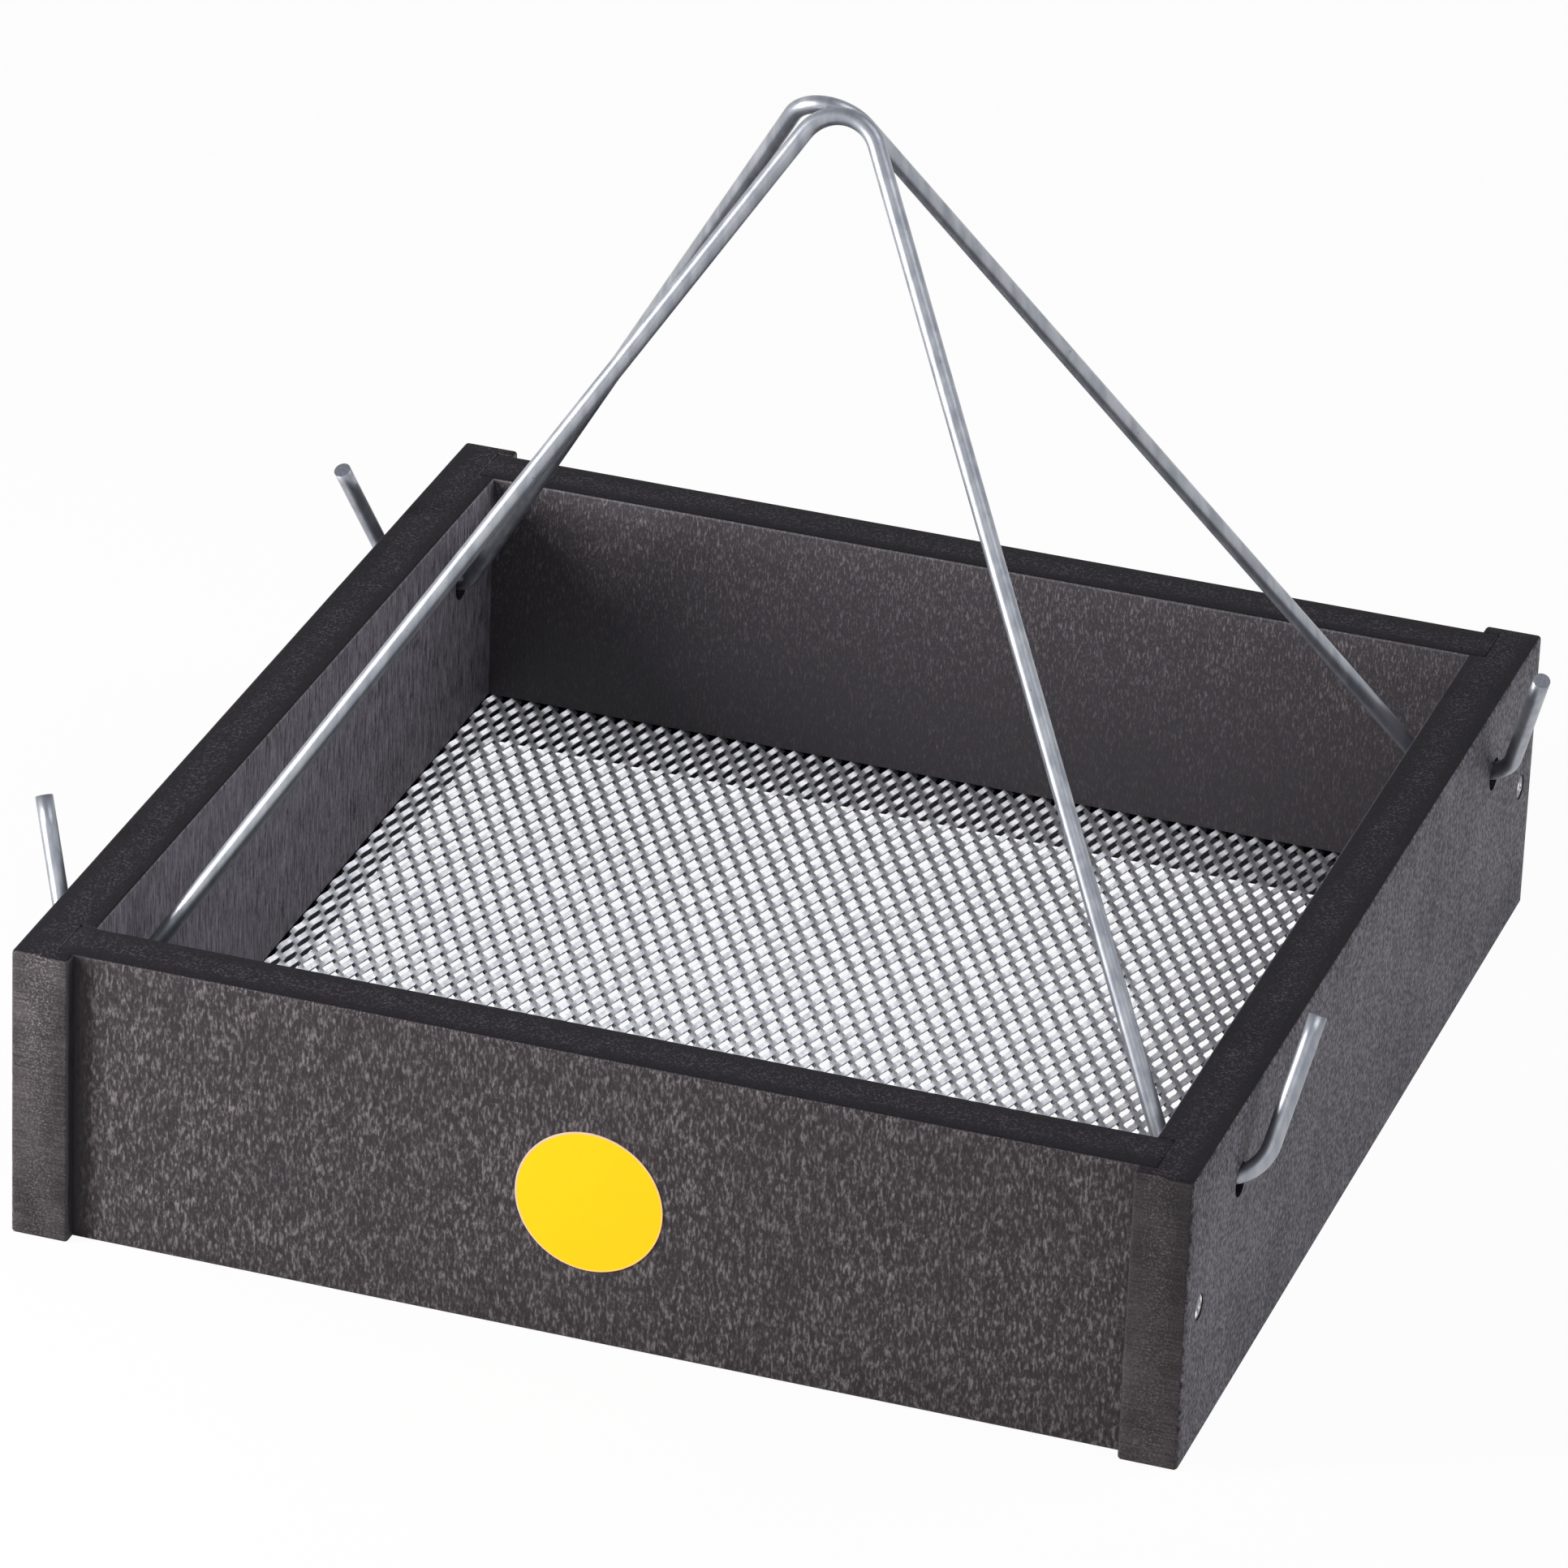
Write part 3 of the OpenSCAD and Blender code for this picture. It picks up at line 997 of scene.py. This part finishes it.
    def build(self) -> None:
        """Builds, cuts and dresses the four boards."""
        length = 2 * (self.side_in + self.dado - self.dado_gap)
        for side, node in ((-1, "left_board"), (1, "right_board")):
            middle = (side * (self.width / 2 - self.thick / 2), 0.0, self.height / 2)
            board = Board(middle, (self.depth, self.thick, self.height), along_y=True)
            piece = make_piece(f"{node}_plank", board.build(), [])
            cut_away(piece, self._side_cuts(side))
            for tool in self._hole_tools(side):
                cut_away(piece, tool)
            self._dress(piece, 0, 1, BoardFace.BRUSHED)
            settle(piece, "tray", node)
        for end, node in ((-1, "front_board"), (1, "back_board")):
            middle = (0.0, end * self.end_mid, self.height / 2)
            board = Board(middle, (length, self.thick, self.height), along_y=False)
            piece = make_piece(f"{node}_plank", board.build(), [])
            low, high = self.groove_z
            inner = end * (self.end_mid - self.thick / 2 + self.groove / 2 - self.tool_over)
            groove = Matrix.Translation((0, inner, (low + high) / 2))
            sizes = (self.width, self.groove + 2 * self.tool_over, high - low)
            cut_away(piece, make_cutter([(CutShape.BOX, groove, sizes)]))
            self._dress(piece, 1, 0, BoardFace.FLECKED)
            settle(piece, "tray", node)


@dataclass
class Screen:
    """Expanded-metal floor: slit strands that zigzag from front to back and join at every turn, in millimetres."""

    half_x: float = 114.3
    half_y: float = 117.45
    bite: float = 2.2
    middle_z: float = 11.0
    short_pitch: float = 4.55
    long_pitch: float = 8.0
    strand: float = 1.2
    sheet: float = 1.0
    lean: float = -35.0
    bond: float = 0.42
    sway: float = 0.25
    sway_grain: float = 0.021
    start: Pair = (0.1, -1.73)
    sharp_degrees: float = 50.0
    metal: ScreenMetal = field(default_factory=ScreenMetal)
    wide: Vector = field(init=False)
    thick: Vector = field(init=False)
    reach: float = field(init=False)
    drop: float = field(init=False)
    end_x: float = field(init=False)
    end_y: float = field(init=False)

    def __post_init__(self) -> None:
        """Works out a strand's section, how far it swings and where the sheet ends."""
        tilt = math.radians(self.lean)
        self.wide = Vector((math.cos(tilt), 0.0, math.sin(tilt))) * (self.strand / 2)
        self.thick = Vector((-math.sin(tilt), 0.0, math.cos(tilt))) * (self.sheet / 2)
        self.reach = self.short_pitch / 4 - self.strand / 2 * math.cos(tilt)
        self.drop = self.strand / 2 * math.sin(tilt)
        self.end_x, self.end_y = self.half_x + self.bite, self.half_y + self.bite

    def _wave(self, share: float) -> float:
        """Sideways place of a strand, which runs straight at each bond and swings over between them.

        Args:
            share: How far along the period.

        Returns:
            The place, from -1 to 1.
        """
        turn = abs(2 * (share % 1.0) - 1) * 2 - 1
        slope = max(-1.0, min(1.0, turn / (1.0 - self.bond)))
        return math.sin(slope * math.pi / 2)

    def _stops(self) -> list[Pair]:
        """Works out where a strand is drawn, from front to back.

        Returns:
            For each stop, its share of the period and how far back it is, in millimetres.
        """
        flat, swing = self.bond / 4, (1.0 - self.bond) / 2
        half = [flat, flat + swing / 3, flat + swing * 2 / 3, 0.5 - flat]
        shares = half + [0.5 + share for share in half]
        periods = int(self.end_y / self.long_pitch) + 2
        stops = []
        for period in range(-periods, periods):
            stops += [(share, self.start[1] + (period + share) * self.long_pitch) for share in shares]
        return [(share, y) for share, y in stops if abs(y) <= self.end_y]

    def _strand(self, mesh: bmesh.types.BMesh, middle_x: float, phase: float) -> None:
        """Builds one strand from front to back.

        Args:
            mesh: The geometry that it joins.
            middle_x: Where it runs, in millimetres.
            phase: The share of the period by which its turns are moved.
        """
        rings = []
        for share, y in self._stops():
            swing = self._wave(share + phase)
            sag = self.sway * noise.noise(Vector((middle_x * self.sway_grain, y * self.sway_grain, 3.0)))
            centre = Vector((middle_x + self.reach * swing, y, self.middle_z - self.drop * swing + sag))
            corners = ((-1, -1), (1, -1), (1, 1), (-1, 1))
            rings.append([mesh.verts.new((centre + a * self.wide + b * self.thick) * MM) for a, b in corners])
        mesh.faces.new(rings[0])
        for first, second in zip(rings, rings[1:]):
            for i, face in enumerate(bridge(mesh, first, second)):
                face.smooth = True
                face.material_index = i % 2
        mesh.faces.new(list(reversed(rings[-1])))

    def build(self) -> None:
        """Builds the strands and puts the screen in place of its CAD node."""
        mesh = bmesh.new()
        columns = int(2 * self.end_x / self.short_pitch)
        for column in range(-columns - 1, columns + 2):
            middle_x = self.start[0] + column * self.short_pitch / 2
            if abs(middle_x) <= self.end_x - self.short_pitch / 4:
                self._strand(mesh, middle_x, 0.5 * (column % 2))
        bmesh.ops.recalc_face_normals(mesh, faces=mesh.faces)
        piece = make_piece("screen_strands", mesh, [self.metal.material(), self.metal.sheared()])
        piece.data.set_sharp_from_angle(angle=math.radians(self.sharp_degrees))
        settle(piece, "tray", "screen_floor")


@dataclass
class Hanger:
    """One bent wire from hole to hole, in millimetres; it lies in a plane that leans in over the tray."""

    name: str
    side: int
    apex_x: float
    slip: float
    leans: Pair
    hooks: Pair
    wire: float = 3.8
    rise: float = 208.8
    apex_r: float = 9.0
    foot: float = 112.1
    foot_r: float = 7.0
    hook_r: float = 10.0
    hook_start: float = 122.2
    apex_gap: float = 0.3
    hole_y: float = 97.55
    hole_z: float = 49.0
    sides: int = 24
    bend_degrees: float = 5.0
    bend_fewest: int = 6
    run_step: float = 6.0

    def tilt(self) -> float:
        """Works out how far the wire's plane leans so that the two tops just clear each other.

        Returns:
            The lean from upright, in radians.
        """
        half = math.atan(self.foot / self.rise)
        top = self.rise - self.apex_r / math.sin(half) + self.apex_r
        return math.asin((self.hole_y - (self.wire + self.apex_gap) / 2) / top)

    def corners(self) -> list[tuple[Vector, float]]:
        """Works out the corners of the run from tip to tip.

        Returns:
            Each corner in the wire's plane, with the radius of its bend.
        """
        outer = [self.hook_start + self.hook_r * math.tan(math.radians((90 - lean) / 2)) for lean in self.leans]
        tips = [o + h * math.tan(math.radians(lean)) for o, h, lean in zip(outer, self.hooks, self.leans)]
        run = [
            (-tips[0], self.hooks[0], 0.0),
            (-outer[0], 0.0, self.hook_r),
            (self.slip - self.foot, 0.0, self.foot_r),
            (self.apex_x, self.rise, self.apex_r),
            (self.slip + self.foot, 0.0, self.foot_r),
            (outer[1], 0.0, self.hook_r),
            (tips[1], self.hooks[1], 0.0),
        ]
        return [(Vector((x, up)), radius) for x, up, radius in run]

    def path(self) -> list[Vector]:
        """Rounds the bends of the run.

        Returns:
            The centre line, in the wire's plane.
        """
        corners = self.corners()
        path = [corners[0][0]]
        for (before, _), (corner, radius), (after, _) in zip(corners, corners[1:], corners[2:]):
            into = (corner - before).normalized()
            away = (after - corner).normalized()
            turn = into.angle_signed(away)
            back = radius * math.tan(abs(turn) / 2)
            start = corner - into * back
            inward = Vector((-into.y, into.x)) * (-1 if turn > 0 else 1)
            centre = start + inward * radius
            count = max(self.bend_fewest, round(abs(math.degrees(turn)) / self.bend_degrees))
            for i in range(count + 1):
                share = Matrix.Rotation(-turn * i / count, 2)
                path.append(centre + share @ (start - centre))
        path.append(corners[-1][0])
        return path

    def spaced(self) -> list[Vector]:
        """Cuts the long straights of the centre line into short lengths.

        Returns:
            The centre line, in the wire's plane.
        """
        dense = []
        path = self.path()
        for first, second in zip(path, path[1:]):
            count = max(1, round((second - first).length / self.run_step))
            dense += [first.lerp(second, i / count) for i in range(count)]
        return dense + [path[-1]]

    def build(self, zinc: ZincWire) -> None:
        """Sweeps the wire along its centre line and puts it in place of its CAD node.

        Args:
            zinc: The wire's finish.
        """
        mesh = bmesh.new()
        tilt = self.tilt()
        lift = Vector((0.0, -self.side * math.sin(tilt), math.cos(tilt)))
        across = Vector((0.0, math.cos(tilt), self.side * math.sin(tilt)))
        origin = Vector((0.0, self.side * self.hole_y, self.hole_z))
        points = self.spaced()
        rings = []
        for i, point in enumerate(points):
            before, after = points[max(i - 1, 0)], points[min(i + 1, len(points) - 1)]
            run = (after - before).normalized()
            normal = Vector((-run.y, run.x))
            centre = origin + Vector((point.x, 0.0, 0.0)) + lift * point.y
            out = Vector((normal.x, 0.0, 0.0)) + lift * normal.y
            ring = []
            for k in range(self.sides):
                angle = 2 * math.pi * k / self.sides
                offset = (out * math.cos(angle) + across * math.sin(angle)) * (self.wire / 2)
                ring.append(mesh.verts.new((centre + offset) * MM))
            rings.append(ring)
        for first, second in zip(rings, rings[1:]):
            for face in bridge(mesh, first, second):
                face.smooth = True
        for ring in (list(reversed(rings[0])), rings[-1]):
            face = mesh.faces.new(ring)
            face.material_index = 1
        bmesh.ops.recalc_face_normals(mesh, faces=mesh.faces)
        piece = make_piece(f"{self.name}_wire", mesh, [zinc.material(), zinc.cut_end()])
        settle(piece, self.name, self.name)


@dataclass
class Screws:
    """Four small countersunk screws, two in each side board, in millimetres."""

    out_x: float = 127.0
    middle_y: float = 123.8
    middle_z: float = 33.35
    head_r: float = 2.8
    dome: float = 0.32
    taper: float = 1.2
    shank_r: float = 1.6
    point_start: float = 29.4
    length: float = 32.4
    recess: tuple[float, float, float] = (0.4, 1.9, 0.5)
    recess_turn: float = 28.0
    recess_vary: float = 17.0
    head_rim: float = 0.12
    head_rings: int = 8
    sides: int = 40
    sharp_degrees: float = 30.0
    steel: ScrewSteel = field(default_factory=ScrewSteel)

    def profile(self) -> list[Pair]:
        """Works out the outline that is turned into a screw.

        Returns:
            Depth below the top of the head and radius, from the top to the point.
        """
        shares = [i / self.head_rings for i in range(self.head_rings + 1)]
        under = self.dome + self.head_rim
        return [(self.dome * share**2, self.head_r * share) for share in shares] + [
            (under, self.head_r),
            (under + self.taper, self.shank_r),
            (self.point_start, self.shank_r),
            (self.length, 0.0),
        ]

    def _screw(self, mesh: bmesh.types.BMesh, side: int, end: int) -> None:
        """Builds one screw, before its recess is cut.

        Args:
            mesh: The geometry that it joins.
            side: 1 for the right board, -1 for the left.
            end: 1 for the back of the board, -1 for the front.
        """
        rings = []
        for depth, radius in self.profile():
            ring = []
            for k in range(self.sides if radius else 1):
                angle = 2 * math.pi * k / self.sides
                y = end * self.middle_y + radius * math.cos(angle)
                z = self.middle_z + radius * math.sin(angle)
                ring.append(mesh.verts.new(Vector((side * (self.out_x - depth), y, z)) * MM))
            rings.append(ring)
        for first, second in zip(rings, rings[1:]):
            bridge(mesh, first, second)

    def build(self) -> None:
        """Builds the screws, cuts the cross recesses and puts them in place of their CAD node."""
        mesh = bmesh.new()
        slim, long, deep = self.recess
        recesses = []
        for side, end in ((-1, -1), (-1, 1), (1, -1), (1, 1)):
            self._screw(mesh, side, end)
            turn = Matrix.Rotation(math.radians(self.recess_turn + self.recess_vary * side * end), 4, "X")
            place = Matrix.Translation((side * self.out_x, end * self.middle_y, self.middle_z)) @ turn
            recesses += [(CutShape.BOX, place, (2 * deep, slim, long)), (CutShape.BOX, place, (2 * deep, long, slim))]
        bmesh.ops.recalc_face_normals(mesh, faces=mesh.faces)
        piece = make_piece("screw_set", mesh, [])
        for recess in recesses:
            cut_away(piece, make_cutter([recess]))
        piece.data.materials.clear()
        piece.data.materials.append(self.steel.material())
        for polygon in piece.data.polygons:
            polygon.use_smooth = True
        piece.data.set_sharp_from_angle(angle=math.radians(self.sharp_degrees))
        settle(piece, "tray", "corner_screws")


def dress_label(paper: LabelPaper) -> None:
    """Gives the round label, which keeps its CAD shape, its finish.

    Args:
        paper: The label's stock.
    """
    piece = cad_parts["round_label"]
    piece.data.materials.clear()
    piece.data.materials.append(paper.material())
    LOG.info("round_label: CAD shape, rides on tray")


@dataclass(frozen=True)
class Lamp:
    """One soft rectangular lamp: its place and size in metres, its power in watts and its colour."""

    name: str
    place: Point
    size: Pair
    watts: float
    colour: Colour = WHITE
    mirrored: bool = True

    def hang(self, target: Point) -> None:
        """Adds the lamp to the scene.

        Args:
            target: What it faces, in metres.
        """
        data = bpy.data.lights.new(self.name, "AREA")
        data.shape = "RECTANGLE"
        data.size, data.size_y = self.size
        data.energy = self.watts
        data.color = self.colour
        lamp = bpy.data.objects.new(self.name, data)
        lamp.location = self.place
        aim = Vector(target) - Vector(self.place)
        lamp.rotation_euler = aim.to_track_quat("-Z", "Y").to_euler()
        lamp.visible_glossy = self.mirrored
        bpy.context.scene.collection.objects.link(lamp)


@dataclass(frozen=True)
class Studio:
    """Plain pale floor, soft light from both sides, and the camera."""

    azimuth: float = 17.81
    elevation: float = 27.111
    roll: float = 2.337
    shift: Point = (2.0544, -59.8616, 2140.1025)
    focal: float = 12189.68
    picture: float = 1932.0
    sensor: float = 36.0
    clip: Pair = (0.05, 60.0)
    lamps: tuple[Lamp, ...] = (
        Lamp("lamp_left", (-0.65, -0.445, 0.35), (0.17, 0.5), 9.2, (1.0, 0.985, 0.975)),
        Lamp("lamp_right", (2.2, 1.1, 1.15), (2.4, 1.8), 48.0, (0.96, 0.975, 1.0), mirrored=False),
        Lamp("lamp_front", (0.6, -1.85, 1.3), (1.4, 1.4), 5.6, (0.97, 0.98, 1.0)),
        Lamp("lamp_top", (1.15, 0.05, 2.05), (1.3, 1.3), 13.0),
    )
    target: Point = (0.0, 0.0, 0.06)
    floor_half: float = 12.0
    floor_glow: float = 0.95
    floor_colour: Colour = (0.78, 0.78, 0.78)
    shade_x: Pair = (112.0, 150.0)
    shade_y: Pair = (118.0, 156.0)
    sky_level: float = 0.06
    lit_sky: Colour = (0.98, 0.99, 1.0)
    softbox: Pair = (-0.45, -0.8)
    mirrored_sky: tuple[tuple[float, Colour], ...] = (
        (0.0, WHITE),
        (0.12, WHITE),
        (0.35, (0.66, 0.66, 0.68)),
        (0.75, (0.54, 0.55, 0.58)),
        (1.0, (0.42, 0.43, 0.46)),
    )

    def _axes(self) -> tuple[Vector, Vector, Vector]:
        """Works out how the camera is turned.

        Returns:
            Its right, up and back directions.
        """
        az, el, roll = (math.radians(v) for v in (self.azimuth, self.elevation, self.roll))
        back = Vector((math.sin(az) * math.cos(el), -math.cos(az) * math.cos(el), math.sin(el)))
        right = Vector((0, 0, 1)).cross(back).normalized()
        up = back.cross(right)
        return (
            right * math.cos(roll) + up * math.sin(roll),
            up * math.cos(roll) - right * math.sin(roll),
            back,
        )

    def camera(self) -> None:
        """Places the camera where the picture was taken from."""
        right, up, back = self._axes()
        place = (right * -self.shift[0] + up * -self.shift[1] + back * self.shift[2]) * MM
        data = bpy.data.cameras.new("camera")
        data.sensor_width = self.sensor
        data.sensor_fit = "HORIZONTAL"
        data.lens = self.sensor * self.focal / self.picture
        data.clip_start, data.clip_end = self.clip
        camera = bpy.data.objects.new("camera", data)
        camera.matrix_world = Matrix.Translation(place) @ Matrix((right, up, back)).transposed().to_4x4()
        bpy.context.scene.collection.objects.link(camera)
        bpy.context.scene.camera = camera

    def lights(self) -> None:
        """Hangs the lamps and sets the sky, which is brighter and graded where it is seen or mirrored."""
        for lamp in self.lamps:
            lamp.hang(self.target)
        world = bpy.data.worlds.new("studio")
        bpy.context.scene.world = world
        world.use_nodes = True
        paint = Paint("studio_sky", world.node_tree)
        across, _, height = paint.split(paint.place_of("Generated"))
        graded = paint.take("ShaderNodeValToRGB", {"stops": self.mirrored_sky}, {0: height})
        mirrored = paint.blend(across.step(*self.softbox), graded, WHITE)
        lit = paint.take("ShaderNodeBackground", {}, {"Color": self.lit_sky, "Strength": self.sky_level})
        shown = paint.take("ShaderNodeBackground", {}, {"Color": mirrored, "Strength": 1.0})
        paint.node("ShaderNodeOutputWorld", {}, {"Surface": paint.merge(paint.shown(), lit, shown)})

    def floor(self) -> None:
        """Lays the pale floor, which shows white and keeps the tray's shadow."""
        paint = Paint("studio_floor")
        x, y, _ = paint.axes()
        open_floor = abs(x).step(*self.shade_x).larger(abs(y).step(*self.shade_y))
        matt = paint.take("ShaderNodeBsdfDiffuse", {}, {"Color": self.floor_colour})
        glow = paint.take("ShaderNodeEmission", {}, {"Color": WHITE, "Strength": 1.0})
        surface = paint.merge(paint.shown(open_floor) * self.floor_glow, matt, glow)
        paint.node("ShaderNodeOutputMaterial", {}, {"Surface": surface})
        mesh = bmesh.new()
        bmesh.ops.create_grid(mesh, x_segments=1, y_segments=1, size=self.floor_half)
        floor = make_piece("floor", mesh, [paint.material])

    def build(self) -> None:
        """Sets up the whole studio."""
        self.camera()
        self.lights()
        self.floor()
        bpy.context.scene.view_settings.view_transform = "Standard"


def main() -> None:
    """Builds the feeder piece by piece."""
    logging.basicConfig(level=logging.INFO, format="%(name)s: %(message)s")
    Studio().build()
    Tray().build()
    Screen().build()
    zinc = ZincWire()
    Hanger("front_hanger", side=-1, apex_x=3.4, slip=-0.5, leans=(21.0, 9.0), hooks=(30.4, 35.5)).build(zinc)
    Hanger("rear_hanger", side=1, apex_x=-2.3, slip=-1.2, leans=(10.0, 15.0), hooks=(36.2, 38.8)).build(zinc)
    Screws().build()
    dress_label(LabelPaper())
    bpy.context.view_layer.update()


if __name__ == "__main__":
    main()
